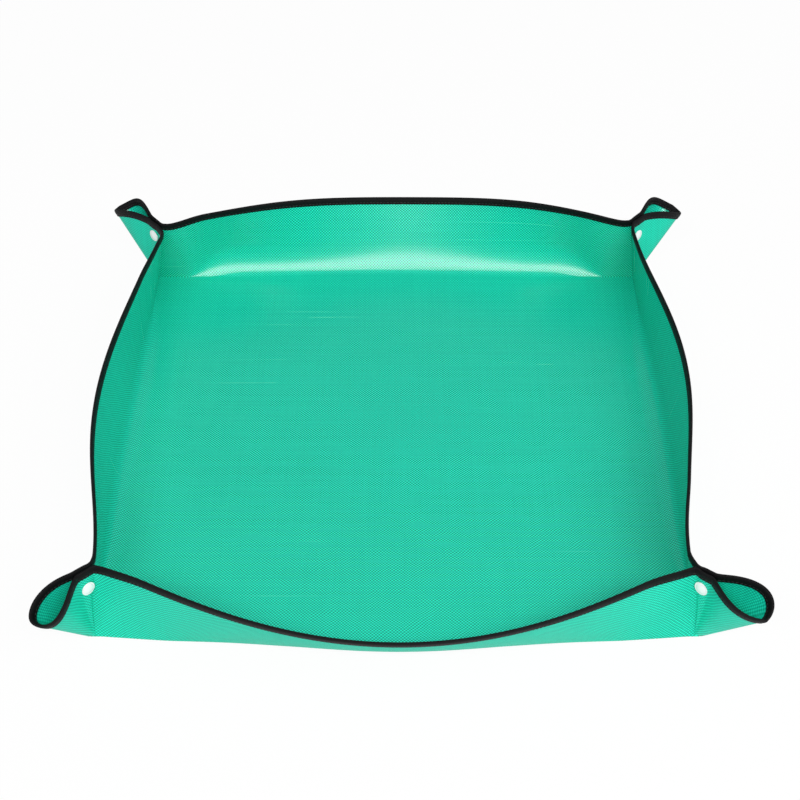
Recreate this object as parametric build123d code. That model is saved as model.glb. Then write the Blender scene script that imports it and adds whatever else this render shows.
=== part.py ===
from build123d import *
import os
from math import acos, atan, cos, pi, radians, sin, sqrt, tan

# A foldable potting tray: one square coated sheet with a bound edge. Its four walls fold up from the
# floor, and each corner is pinched into an ear that a press snap holds. The sheet is modelled as hinged
# panels, standing as the tray stands in use. Origin: centre of the floor's underside, +Z up, -Y the front.

# Driving dimensions of the sheet, in millimetres and degrees
SHEET_SIDE = 660.0        # the mat laid flat, edge to edge
SHEET_T = 0.8             # coated woven sheet
WALL_HEIGHT = 80.0        # strip that stands up, from its fold to the sheet's edge
MAT_CORNER_R = 62.0       # round on the flat mat's four corners

# Lean of the walls above the outward horizontal, halfway along each wall and beside the ears
FRONT_LEAN = 44.5
BACK_LEAN = 56.0
LEFT_LEAN = 78.5
RIGHT_LEAN = 79.0
CORNER_LEAN = 97.0

# How quickly each wall's lean fades towards the ears, and how far its belly sits to +X or +Y
FRONT_FADE = 1.0
FRONT_SKEW = 0.0
BACK_FADE = 1.75
BACK_SKEW = 0.2
LEFT_FADE = 1.9
LEFT_SKEW = -0.45
RIGHT_FADE = 2.5
RIGHT_SKEW = 0.2

# Bow of a wall out of its chord, halfway up and halfway along
FRONT_BOW = 4.5
BACK_BOW = 4.5
SIDE_BOW = 1.0

# Ends of the front and back walls, which bend up to the corners
END_LENGTH = 42.0
CREASE_MITRE = 30.0       # cut of a wall's end, from square to the snap towards the ear

# Ear: each half runs flat past its snap and then swells to an open loop
EAR_FLAT_ANGLE = 15.0
EAR_LOOP_HALF = 11.0
EAR_START = 10.0          # free radius round the floor's corner, where all the folds meet

# Binding tape folded over the sheet's edge
BINDING_DEPTH = 9.0
BINDING_T = 0.8
BINDING_FIT = 0.3

# Press snap: cap with a prong on each outer face, stud and socket between the layers
SNAP_HEIGHT = 56.0        # up the crease from the floor's corner
SNAP_INSET = 8.0          # from the crease, out along the ear
CAP_R = 6.1
CAP_RIM_H = 0.6
CAP_DOME_H = 1.7
PRONG_R = 1.0
PRONG_GRIP = 0.5          # prong past the sheet, in the stud or the socket
PRONG_FIT = 0.15
STUD_FLANGE_R = 5.0
STUD_FLANGE_H = 0.9
STUD_HEAD_R = 2.7
STUD_NECK_R = 2.3
SOCKET_R = 5.3
SOCKET_H = 3.0
SOCKET_FLOOR_H = 0.8
STUD_FIT = 0.3            # stud head in its socket, all round and at its end
SNAP_GAP = 0.4            # socket's lip to the stud's flange

# Running gaps between panels
FOLD_GAP = 0.5
HINGE_GAP = 0.3

# Sizes worked out from those above
ROOT2 = sqrt(2.0)
UP = Vector(0, 0, 1)
FOLD = SHEET_SIDE / 2 - WALL_HEIGHT
INWARD = radians(CORNER_LEAN - 90.0)
CREASE_TILT = atan(ROOT2 * tan(INWARD))
WALL_SECTOR = acos(tan(INWARD) / sqrt(1.0 + 2.0 * tan(INWARD) ** 2))
EAR_SECTOR = radians(135.0) - WALL_SECTOR
RIM_HALF = FOLD - WALL_HEIGHT * sin(INWARD)
CUT = RIM_HALF - END_LENGTH
LAYER_GAP = SOCKET_H + SNAP_GAP + STUD_FLANGE_H
CREASE_OFFSET = LAYER_GAP / 2 + SHEET_T
SPINE_OFFSET = SHEET_T + HINGE_GAP
TAPE_REACH = BINDING_FIT + BINDING_T

nodes: dict[str, Solid] = {}


class Wall:
    """One standing strip: its direction outward, its direction along and its shape."""

    def __init__(self, outward: Vector, along: Vector, lean: float, bow: float, fade: float, skew: float):
        self.outward = outward
        self.along = along
        self.lean = lean
        self.bow = bow
        self.fade = fade
        self.skew = skew

    def belly(self, s: float) -> float:
        """How far the wall leans out at s along it, 0 beside the ears and about 1 halfway."""
        t = max(-1.0, min(1.0, s / RIM_HALF))
        return (1.0 - t * t) ** self.fade * (1.0 + self.skew * t)

    def frame(self, s: float) -> tuple[Vector, Vector, Vector, float]:
        """Foot, direction up the chord, normal into the tray and bow at s along the wall."""
        lean = radians(CORNER_LEAN + (self.lean - CORNER_LEAN) * self.belly(s))
        foot = self.outward * FOLD + self.along * s
        chord = self.outward * cos(lean) + UP * sin(lean)
        inward = self.outward * -sin(lean) + UP * cos(lean)
        return foot, chord, inward, self.bow * self.belly(s)

    def panel_section(self, s: float) -> Wire:
        """Closed section of the sheet at s: two bowed faces and two cut edges."""
        foot, chord, inward, bow = self.frame(s)
        low = foot + chord * HINGE_GAP
        high = foot + chord * WALL_HEIGHT
        middle = (low + high) * 0.5 - inward * (2.0 * bow)
        shift = inward * SHEET_T
        outer = Edge.make_bezier(low, middle, high)
        inner = Edge.make_bezier(low + shift, middle + shift, high + shift)
        ends = [Edge.make_line(low, low + shift), Edge.make_line(high, high + shift)]
        return Wire([outer, ends[1], inner, ends[0]])

    def binding_section(self, s: float) -> Wire:
        """Closed section of the binding tape over the sheet's edge at s."""
        foot, chord, inward, bow = self.frame(s)
        turn = atan(4.0 * bow / WALL_HEIGHT)
        up = chord * cos(turn) + inward * sin(turn)
        across = inward * cos(turn) - chord * sin(turn)
        return tape_section(foot + chord * WALL_HEIGHT, up, across)

    def between(self, start: float, end: float, steps: int, section) -> Solid:
        """Ruled strip through sections spread evenly from start to end along the wall."""
        places = [start + (end - start) * i / steps for i in range(steps + 1)]
        return Solid.make_loft([section(s) for s in places], ruled=True)


class Ear:
    """One half of a pinched corner: a fan of rays from the floor's corner, from crease to spine."""

    def __init__(self, sign_x: int, sign_y: int, on_side_wall: bool):
        turn = 1 if on_side_wall else -1
        corner = Vector(sign_x * FOLD, sign_y * FOLD, 0)
        self.diagonal = Vector(sign_x, sign_y, 0) / ROOT2
        self.outer = Vector(sign_x, -sign_y, 0) / ROOT2 * turn
        self.crease = UP * cos(CREASE_TILT) - self.diagonal * sin(CREASE_TILT)
        self.across = self.diagonal * cos(CREASE_TILT) + UP * sin(CREASE_TILT)
        self.foot = corner - self.diagonal * CREASE_OFFSET

    def rim_radius(self, angle: float) -> float:
        """Length of the ray at an angle from the crease, out to the sheet's edge."""
        flat = WALL_SECTOR + angle
        straight = WALL_HEIGHT - MAT_CORNER_R
        if WALL_HEIGHT / tan(flat) >= -straight:
            return WALL_HEIGHT / sin(flat)
        reach = straight * (sin(flat) - cos(flat))
        return reach + sqrt(reach ** 2 - 2.0 * straight ** 2 + MAT_CORNER_R ** 2)

    def offset(self, radius: float, angle: float) -> float:
        """Distance of the outer face from the corner's mirror plane."""
        flat = radians(EAR_FLAT_ANGLE)
        share = max(0.0, (angle - flat) / (EAR_SECTOR - flat))
        swell = EAR_LOOP_HALF / self.rim_radius((EAR_SECTOR + flat) / 2) * sin(pi * share)
        flare = TAPE_REACH / self.rim_radius(EAR_SECTOR) * share
        return CREASE_OFFSET + (SPINE_OFFSET - CREASE_OFFSET) * share + radius * (swell + flare)

    def point(self, radius: float, angle: float, depth: float = 0.0) -> Vector:
        """Point on the ray at an angle, at a depth below the outer face."""
        ray = self.crease * cos(angle) + self.across * sin(angle)
        inside = self.foot + self.across * HINGE_GAP + ray * radius
        return inside + self.outer * (self.offset(radius, angle) - depth)

    def panel_section(self, angle: float) -> Wire:
        """Closed section of the sheet along one ray."""
        rim = self.rim_radius(angle)
        corners = [(EAR_START, 0.0), (rim, 0.0), (rim, SHEET_T), (EAR_START, SHEET_T)]
        return Wire.make_polygon([self.point(r, angle, depth) for r, depth in corners], close=True)

    def binding_section(self, angle: float) -> Wire:
        """Closed section of the binding tape over the end of one ray."""
        rim = self.rim_radius(angle)
        ray = (self.point(rim, angle) - self.point(EAR_START, angle)).normalized()
        return tape_section(self.point(rim, angle), ray, self.outer * -1.0)

    def fan(self, start: float, steps: int, section) -> Solid:
        """Ruled fan through the flat stretch and then evenly through the swelling one."""
        flat = radians(EAR_FLAT_ANGLE)
        angles = [start] + [flat + (EAR_SECTOR - flat) * i / steps for i in range(steps + 1)]
        return Solid.make_loft([section(angle) for angle in angles], ruled=True)

    def snap_plane(self, depth: float) -> Plane:
        """Plane square to the snap at a depth below the ear's outer face, facing outward."""
        middle = self.foot + self.crease * SNAP_HEIGHT + self.across * (HINGE_GAP + SNAP_INSET)
        return Plane(origin=middle + self.outer * (CREASE_OFFSET - depth), z_dir=self.outer)

    def crease_plane(self) -> Plane:
        """Plane that ends the wall at this half's crease, facing along the wall."""
        mitre = radians(CREASE_MITRE)
        facing = self.outer * cos(mitre) - self.across * sin(mitre)
        return Plane(origin=self.foot + self.outer * CREASE_OFFSET, z_dir=facing)


def tape_section(edge: Vector, up: Vector, inward: Vector) -> Wire:
    """U-shaped section of the tape, its slot holding the sheet whose outer face ends at edge."""
    outer = -TAPE_REACH
    inner = SHEET_T + TAPE_REACH
    outline = [
        (-BINDING_DEPTH, outer),
        (TAPE_REACH, outer),
        (TAPE_REACH, inner),
        (-BINDING_DEPTH, inner),
        (-BINDING_DEPTH, SHEET_T + BINDING_FIT),
        (BINDING_FIT, SHEET_T + BINDING_FIT),
        (BINDING_FIT, -BINDING_FIT),
        (-BINDING_DEPTH, -BINDING_FIT),
    ]
    return Wire.make_polygon([edge + up * a + inward * b for a, b in outline], close=True)


def lathe(outline: list[tuple[float, float]]) -> Solid:
    """Solid of revolution about Z from its outline of radius and height."""
    face = Plane.XZ * make_face(Polyline(*outline, close=True))
    return revolve(face, Axis.Z).solid()


def snap_cap() -> Solid:
    """Domed cap with its prong, underside on the XY plane."""
    dome = make_face(
        Line((0, 0), (CAP_R, 0))
        + Line((CAP_R, 0), (CAP_R, CAP_RIM_H))
        + Bezier((CAP_R, CAP_RIM_H), (CAP_R * 0.8, CAP_DOME_H), (0, CAP_DOME_H))
        + Line((0, CAP_DOME_H), (0, 0))
    )
    length = SHEET_T + PRONG_GRIP
    prong = Pos(0, 0, -length / 2) * Cylinder(PRONG_R, length)
    return (revolve(Plane.XZ * dome, Axis.Z) + prong).solid()


def snap_stud() -> Solid:
    """Stud, its flange's back on the XY plane and its head along -Z."""
    tip = -(LAYER_GAP - SOCKET_FLOOR_H - STUD_FIT)
    bead = (tip - STUD_FLANGE_H) / 2
    bore = PRONG_R + PRONG_FIT
    bore_end = -(PRONG_GRIP + PRONG_FIT)
    return lathe([
        (bore, 0), (STUD_FLANGE_R, 0), (STUD_FLANGE_R, -STUD_FLANGE_H), (STUD_NECK_R, -STUD_FLANGE_H),
        (STUD_HEAD_R, bead), (STUD_HEAD_R, tip + STUD_FIT), (STUD_HEAD_R - STUD_FIT, tip), (0, tip),
        (0, bore_end), (bore, bore_end),
    ])


def snap_socket() -> Solid:
    """Socket, its back on the XY plane and its mouth along -Z."""
    cavity = STUD_HEAD_R + STUD_FIT
    bore = PRONG_R + PRONG_FIT
    lip = SNAP_GAP / 2
    return lathe([
        (bore, 0), (SOCKET_R, 0), (SOCKET_R, lip - SOCKET_H), (SOCKET_R - lip, -SOCKET_H),
        (cavity, -SOCKET_H), (cavity, -SOCKET_FLOOR_H), (bore, -SOCKET_FLOOR_H),
    ])


WALLS = {
    "front": Wall(Vector(0, -1, 0), Vector(1, 0, 0), FRONT_LEAN, FRONT_BOW, FRONT_FADE, FRONT_SKEW),
    "back": Wall(Vector(0, 1, 0), Vector(1, 0, 0), BACK_LEAN, BACK_BOW, BACK_FADE, BACK_SKEW),
    "left": Wall(Vector(-1, 0, 0), Vector(0, 1, 0), LEFT_LEAN, SIDE_BOW, LEFT_FADE, LEFT_SKEW),
    "right": Wall(Vector(1, 0, 0), Vector(0, 1, 0), RIGHT_LEAN, SIDE_BOW, RIGHT_FADE, RIGHT_SKEW),
}
CORNERS = {
    "fl": (-1, -1, "front", "left"),
    "fr": (1, -1, "front", "right"),
    "bl": (-1, 1, "back", "left"),
    "br": (1, 1, "back", "right"),
}


def make_floor() -> None:
    """Floor panel, flat on the ground inside the four folds."""
    side = 2.0 * (FOLD - SHEET_T - FOLD_GAP)
    nodes["floor_panel"] = (Pos(0, 0, SHEET_T / 2) * Box(side, side, SHEET_T)).solid()


def make_middle_walls() -> None:
    """Middle stretch of the front and back walls, with its binding."""
    for name in ("front", "back"):
        wall = WALLS[name]
        reach = CUT - FOLD_GAP / 2
        nodes[f"wall_{name}_panel"] = wall.between(-reach, reach, 8, wall.panel_section)
        nodes[f"wall_{name}_binding"] = wall.between(-reach, reach, 8, wall.binding_section)


def make_wall_ends() -> None:
    """Ends of the front and back walls, each cut off at its ear's crease."""
    for corner, (sign_x, sign_y, wall_name, _) in CORNERS.items():
        wall = WALLS[wall_name]
        plane = Ear(sign_x, sign_y, False).crease_plane()
        start = sign_x * (CUT + FOLD_GAP / 2)
        for part, section in (("panel", wall.panel_section), ("binding", wall.binding_section)):
            bent = wall.between(start, sign_x * RIM_HALF, 3, section)
            straight = wall.between(sign_x * RIM_HALF, sign_x * (FOLD + WALL_HEIGHT / 4), 1, section)
            strip = (bent + straight).solid()
            nodes[f"wall_end_{corner}_{part}"] = split(strip, plane, Keep.TOP).solid()


def make_side_walls() -> None:
    """Left and right walls, each cut off at the creases of its two ears."""
    for name, sign_x in (("left", -1), ("right", 1)):
        wall = WALLS[name]
        planes = [Ear(sign_x, sign_y, True).crease_plane() for sign_y in (-1, 1)]
        for part, section in (("panel", wall.panel_section), ("binding", wall.binding_section)):
            strip = wall.between(-RIM_HALF, RIM_HALF, 12, section)
            for sign_y in (-1, 1):
                strip += wall.between(sign_y * RIM_HALF, sign_y * (FOLD + WALL_HEIGHT / 4), 1, section)
            for plane in planes:
                strip = split(strip.solid(), plane, Keep.TOP)
            nodes[f"wall_{name}_{part}"] = strip.solid()


def make_ears() -> None:
    """Both halves of each ear, with their binding and their half of the snap."""
    for corner, (sign_x, sign_y, wall_name, side_name) in CORNERS.items():
        for half, on_side_wall in ((wall_name, False), (side_name, True)):
            ear = Ear(sign_x, sign_y, on_side_wall)
            panel = ear.fan(0.0, 6, ear.panel_section)
            hole = Cylinder(PRONG_R + PRONG_FIT, 3.0 * SHEET_T)
            nodes[f"ear_{corner}_{half}_panel"] = (panel - ear.snap_plane(SHEET_T / 2) * hole).solid()
            tape_start = 2.0 * TAPE_REACH / WALL_HEIGHT
            nodes[f"ear_{corner}_{half}_binding"] = ear.fan(tape_start, 6, ear.binding_section)
            nodes[f"snap_{corner}_{half}_cap"] = ear.snap_plane(0.0) * snap_cap()
            if on_side_wall:
                nodes[f"snap_{corner}_socket"] = ear.snap_plane(SHEET_T) * snap_socket()
            else:
                nodes[f"snap_{corner}_stud"] = ear.snap_plane(SHEET_T) * snap_stud()


make_floor()
make_middle_walls()
make_wall_ends()
make_side_walls()
make_ears()

os.makedirs("parts", exist_ok=True)
for name, solid in nodes.items():
    solid.label = name
    export_step(solid, f"parts/{name}.step")
print(len(nodes), "nodes")
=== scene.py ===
"""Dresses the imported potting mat: its woven sheet, bound edge, sewing, press snaps and studio."""
import logging
import math
from dataclasses import dataclass, field
from enum import Enum

import bmesh
import bpy
import numpy as np
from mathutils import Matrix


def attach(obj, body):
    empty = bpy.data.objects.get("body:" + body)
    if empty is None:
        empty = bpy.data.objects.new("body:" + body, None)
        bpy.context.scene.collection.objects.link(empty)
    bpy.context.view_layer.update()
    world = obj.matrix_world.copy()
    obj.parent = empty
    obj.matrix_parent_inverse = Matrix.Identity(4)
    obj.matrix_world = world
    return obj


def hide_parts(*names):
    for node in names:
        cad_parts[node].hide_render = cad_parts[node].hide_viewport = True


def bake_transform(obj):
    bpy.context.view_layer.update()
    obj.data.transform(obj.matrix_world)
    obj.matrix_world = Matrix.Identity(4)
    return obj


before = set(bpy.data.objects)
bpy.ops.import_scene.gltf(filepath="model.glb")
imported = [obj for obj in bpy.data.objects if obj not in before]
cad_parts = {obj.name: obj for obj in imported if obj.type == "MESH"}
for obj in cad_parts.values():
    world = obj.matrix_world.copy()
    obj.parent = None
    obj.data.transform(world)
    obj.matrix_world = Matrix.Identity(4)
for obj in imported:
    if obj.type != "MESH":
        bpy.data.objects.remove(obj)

LOG = logging.getLogger("potting_tray")
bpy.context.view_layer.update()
FLAT = "flat"
UP = np.array((0.0, 0.0, 1.0))
Colour = tuple[float, float, float, float]
Array = np.ndarray
Socket = bpy.types.NodeSocket
Piece = bpy.types.Object
Material = bpy.types.Material
Triple = tuple[float, float, float]
Pair = tuple[float, float]
Plane = tuple[Array, Array]
Grid = tuple[Array, Array]
Ends = tuple[float | None, float | None]
RIM_STEP = 0.002
WHITE: Colour = (1.0, 1.0, 1.0, 1.0)


class Bearing(Enum):
    """A wall or a corner of the tray, by the level direction in which it lies."""

    @property
    def outward(self) -> Array:
        """The level direction out of the tray."""
        return np.array((*self.value, 0.0))

    @property
    def word(self) -> str:
        """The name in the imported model."""
        return self.name.lower()


class Side(Bearing):
    """The four walls of the tray, by the way each one faces."""

    FRONT = (0.0, -1.0)
    BACK = (0.0, 1.0)
    LEFT = (-1.0, 0.0)
    RIGHT = (1.0, 0.0)

    @property
    def along(self) -> Array:
        """The level direction along the wall, towards +X or +Y."""
        return np.array((abs(self.value[1]), abs(self.value[0]), 0.0))

    def end(self, sign: float) -> "Corner":
        """The corner at the wall's end towards -X or -Y, where sign is -1, or at the other."""
        place = self.outward + self.along * sign
        return Corner((float(place[0]), float(place[1])))


class Corner(Bearing):
    """The four corners of the tray, by their signs along X and Y."""

    FL = (-1.0, -1.0)
    FR = (1.0, -1.0)
    BL = (-1.0, 1.0)
    BR = (1.0, 1.0)

    @property
    def across_side(self) -> Side:
        """The front or back wall that meets here."""
        return Side.FRONT if self.value[1] < 0 else Side.BACK

    @property
    def deep_side(self) -> Side:
        """The left or right wall that meets here."""
        return Side.LEFT if self.value[0] < 0 else Side.RIGHT


@dataclass(frozen=True)
class TraySizes:
    """Sizes of the folded mat, in metres and degrees."""

    sheet_side: float = 0.660
    sheet_t: float = 0.0008
    wall_height: float = 0.080
    mat_corner_r: float = 0.062
    corner_lean: float = 97.0
    ear_flat_angle: float = 15.0
    crease_offset: float = 0.00295
    crease_gap: float = 0.0012
    crease_lap: float = 0.0013
    spine_slip: float = 0.0022
    spine_taper: float = 0.0104
    fold_bend: float = 0.0005
    floor_corner_r: float = 0.0025
    binding_depth: float = 0.0066
    snap_height: float = 0.056
    snap_inset: float = 0.0083

    @property
    def fold(self) -> float:
        """Distance from the middle of the floor to a wall's fold."""
        return self.sheet_side / 2 - self.wall_height

    @property
    def inward(self) -> float:
        """How far the corners lean in, in radians."""
        return math.radians(self.corner_lean - 90.0)

    @property
    def crease_tilt(self) -> float:
        """Angle of the corner creases from upright, in radians."""
        return math.atan(math.sqrt(2.0) * math.tan(self.inward))

    @property
    def wall_sector(self) -> float:
        """Angle of a wall at the corner in the flat sheet, in radians."""
        return math.atan(1.0 / math.sin(self.inward))

    @property
    def ear_sector(self) -> float:
        """Angle of an ear half in the flat sheet, in radians."""
        return math.radians(135.0) - self.wall_sector

    @property
    def rim_half(self) -> float:
        """Half the rim's length between two corners."""
        return self.fold - self.wall_height * math.sin(self.inward)


@dataclass(frozen=True)
class WallLine:
    """How one wall stands: its lean, its belly and the round bend at its foot.

    The lean and the bow fade towards the corners, and skew moves them to +X or +Y. The fold swells outward
    by roll, with spare more sheet above it, over roll_span of the rim. The bend round the fold is full as far
    as bend_full and gone at bend_gone. A wall that leans more steeply than base leaves the floor at that
    slope and curves up above it. The rim sways inward by sway near one end, which sway_end gives as -1 or 1.
    When the wall lies down, its sheet turns between two levels, the last two numbers of turn, which slope
    away from the fold by the first.
    """

    side: Side
    lean: float
    bow: float
    fade: float
    skew: float
    roll: float
    spare: float
    bend: float
    bend_full: float
    bend_gone: float
    base: float = 97.0
    sway: float = 0.0
    sway_end: float = 0.0
    turn: Triple = (0.0, 0.0008, 0.006)
    roll_span: float = 1.0


WALLS = {
    Side.FRONT: WallLine(
        Side.FRONT, lean=51.0, bow=0.0045, fade=1.06, skew=0.04, roll=0.0118, spare=0.008,
        bend=0.010, bend_full=0.10, bend_gone=0.20, turn=(0.6, -0.0045, 0.0025),
    ),
    Side.BACK: WallLine(
        Side.BACK, lean=56.0, bow=0.0, fade=1.65, skew=0.2, roll=0.007, spare=0.006,
        bend=0.004, bend_full=0.16, bend_gone=0.20, base=46.0, turn=(1.0, -0.0062, 0.0005), roll_span=0.8325,
    ),
    Side.LEFT: WallLine(
        Side.LEFT, lean=78.5, bow=0.0010, fade=1.90, skew=-0.45, roll=0.0, spare=0.0,
        bend=0.016, bend_full=0.12, bend_gone=0.24, sway=0.0045, sway_end=1.0,
    ),
    Side.RIGHT: WallLine(
        Side.RIGHT, lean=79.0, bow=0.0010, fade=2.50, skew=0.2, roll=0.0, spare=0.0,
        bend=0.016, bend_full=0.12, bend_gone=0.24, sway=0.0042, sway_end=-1.0,
    ),
}


@dataclass(frozen=True)
class Pinch:
    """How one corner is pinched.

    Its rim dips, its tip pulls in and its two halves stand open by their loops. A larger across_end makes the
    front or back half straighter towards the tip, and the side half hangs down by hang of its loop. The rim
    rounds into the ear over rim_round.
    """

    dip: float
    pull: float
    across_loop: float
    deep_loop: float
    across_end: float = 0.45
    hang: float = 0.0
    rim_round: float = 0.011


PINCHES = {
    Corner.FL: Pinch(dip=0.004, pull=0.15, across_loop=0.020, deep_loop=0.010, across_end=0.60),
    Corner.FR: Pinch(
        dip=0.0065, pull=0.015, across_loop=0.015, deep_loop=0.016, across_end=0.90,
        hang=-0.15, rim_round=0.006,
    ),
    Corner.BL: Pinch(dip=0.0075, pull=0.02, across_loop=0.012, deep_loop=0.011, hang=0.25),
    Corner.BR: Pinch(dip=0.003, pull=0.01, across_loop=0.013, deep_loop=0.016, hang=0.30),
}


def ease(value: Array, low: float, high: float) -> Array:
    """A smooth step from 0 where a value is low to 1 where it is high."""
    t = np.clip((value - low) / (high - low), 0.0, 1.0)
    return t * t * (3.0 - 2.0 * t)


def soft_least(first: Array, second: Array, width: Array) -> Array:
    """The lesser of two numbers, rounded where they are nearer than width."""
    near = np.maximum(width - np.abs(first - second), 0.0)
    return np.minimum(first, second) - near ** 2 / (4.0 * width)


def unit(vectors: Array) -> Array:
    """Vectors along the last axis, each made one long."""
    return vectors / np.maximum(np.linalg.norm(vectors, axis=-1, keepdims=True), 1e-12)


@dataclass(frozen=True)
class SheetForm:
    """The shape that the one sheet takes when its corners are pinched.

    A span gives two distances along a wall from its middle. The back wall's cup goes over cup_span and its
    easy foot narrows over foot_span, the rim's sway comes over sway_span and goes from sway_gone, and the
    rim dips over dip_span. The rounding beside a crease goes at the depths in round_depth below the rim.
    """

    sizes: TraySizes
    roll_power: float = 1.9
    cup_span: Pair = (0.208, 0.238)
    foot_span: Pair = (0.168, 0.226)
    foot_least: float = 0.02
    foot_slope: float = 3.2
    foot_round: float = 0.24
    sway_span: Pair = (0.140, 0.222)
    sway_gone: float = 0.224
    dip_span: Pair = (0.195, 0.238)
    round_depth: Pair = (0.004, 0.020)
    slope_step: float = 0.001
    least_rise: float = 0.2

    def crease_end(self, height: Array) -> Array:
        """Distance from a wall's middle to its corner crease, at a height above the fold."""
        s = self.sizes
        return s.fold - height * math.sin(s.inward) - math.sqrt(2.0) * s.crease_gap

    def bend_at(self, line: WallLine, along: Array) -> Array:
        """Distance from the fold to each end of its round bend, which fades towards the corners."""
        size = line.bend * (1.0 - ease(np.abs(along), line.bend_full, line.bend_gone))
        return np.maximum(size, self.sizes.fold_bend)

    def roll_at(self, line: WallLine, along: Array) -> Array:
        """How far the fold has rolled out past its straight line, which fades towards the corners."""
        reach = self.sizes.rim_half * line.roll_span
        return line.roll * np.maximum(1.0 - np.abs(along / reach) ** self.roll_power, 0.0)

    def strip(self, line: WallLine, along: Array, height: Array) -> Array:
        """Points on a wall's outer face.

        Args:
            line: The wall.
            along: Distance along the wall from its middle.
            height: Distance up the wall from its fold.

        Returns:
            The points, on one more axis.
        """
        s = self.sizes
        side = line.side
        t = np.clip(along / s.rim_half, -1.0, 1.0)
        share = (1.0 - t * t) ** line.fade * (1.0 + line.skew * t)
        lean = np.radians(s.corner_lean + (line.lean - s.corner_lean) * share)
        stand = self.stand(line, along)
        rise = height / stand
        belly = 4.0 * line.bow * share * rise * (1.0 - rise)
        cup = np.tan(np.maximum(lean - math.radians(line.base), 0.0))
        cup = cup * (1.0 - ease(np.abs(along), *self.cup_span))
        spread = np.maximum(1.0 - ease(np.abs(along), *self.foot_span), self.foot_least)
        foot = soft_least(rise, spread * (1.0 - rise) / self.foot_slope, self.foot_round * spread)
        belly = belly + cup * stand * foot
        toward = along * line.sway_end
        staying = 1.0 - ease(toward, self.sway_gone, s.rim_half)
        sway = line.sway * rise * ease(toward, *self.sway_span) * staying
        out = s.fold + self.roll_at(line, along) - sway + height * np.cos(lean) + belly * np.sin(lean)
        high = height * np.sin(lean) - belly * np.cos(lean)
        moved = sum(
            self.rounding(side, side.end(sign), self.crease_end(height) - along * sign, stand - height)
            for sign in (-1.0, 1.0)
        )
        return out[..., None] * side.outward + along[..., None] * side.along + high[..., None] * UP + moved

    def floor_edge(self, line: WallLine, along: Array) -> Array:
        """Distance from the floor's middle to where a wall's bend starts."""
        return self.sizes.fold + self.roll_at(line, along) - self.bend_at(line, along)

    def rounding(self, side: Side, corner: Corner, gone: Array, below: Array) -> Array:
        """How far the sheet opens beside a corner crease, where the snap no longer presses it flat.

        Args:
            side: The wall that the crease ends.
            corner: The corner.
            gone: Distance from the crease, along the wall or across the ear.
            below: Distance below the rim.

        Returns:
            The moves, on one more axis.
        """
        reach = PINCHES[corner].rim_round
        place = corner.outward
        way = unit(place / math.sqrt(2.0) - side.along * float(place @ side.along))
        corner_turn = math.sin(math.radians(45.0) / 2.0)
        share = np.clip(1.0 - gone / reach, 0.0, 1.0) ** 2 * (1.0 - ease(below, *self.round_depth))
        return (corner_turn / 2.0 * reach * share)[..., None] * way

    def stand(self, line: WallLine, along: Array) -> Array:
        """Length of sheet from the rolled fold to the rim, which dips at the pinched corners.

        Args:
            line: The wall.
            along: Distance along the wall from its middle.

        Returns:
            The lengths.
        """
        low, high = (PINCHES[line.side.end(sign)].dip for sign in (-1.0, 1.0))
        dip = np.where(along < 0, low, high) * ease(np.abs(along), *self.dip_span)
        share = self.roll_at(line, along) / line.roll if line.roll else 0.0
        return self.sizes.wall_height - dip - (line.roll - line.spare) * share

    def foot_bend(self, line: WallLine, along: Array, turn: Array) -> Array:
        """Points on the round bend between the floor and a wall.

        Args:
            line: The wall.
            along: Distance along the wall from its middle.
            turn: 0 on the floor to 1 on the wall.

        Returns:
            The points, on one more axis.
        """
        size = self.bend_at(line, along)
        top = self.strip(line, along, size)
        rise = unit(self.strip(line, along, size + self.slope_step) - top)
        knee = top - rise * (top[..., 2:] / np.maximum(rise[..., 2:], self.least_rise))
        start = self.strip(line, along, size * 0.0) - size[..., None] * line.side.outward
        q = turn[..., None]
        return (1.0 - q) ** 2 * start + 2.0 * q * (1.0 - q) * knee + q ** 2 * top

    def rim_radius(self, angle: Array) -> Array:
        """Distance from a corner of the floor to the sheet's rounded rim.

        Args:
            angle: Angle from the crease towards the ear's spine, in radians.

        Returns:
            The distances.
        """
        s = self.sizes
        flat = s.wall_sector + angle
        straight = s.wall_height - s.mat_corner_r
        reach = straight * (np.sin(flat) - np.cos(flat))
        arc = reach + np.sqrt(np.maximum(reach ** 2 - 2 * straight ** 2 + s.mat_corner_r ** 2, 0.0))
        edge = s.wall_height / np.sin(flat)
        return np.where(s.wall_height / np.tan(flat) >= -straight, edge, arc)


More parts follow.
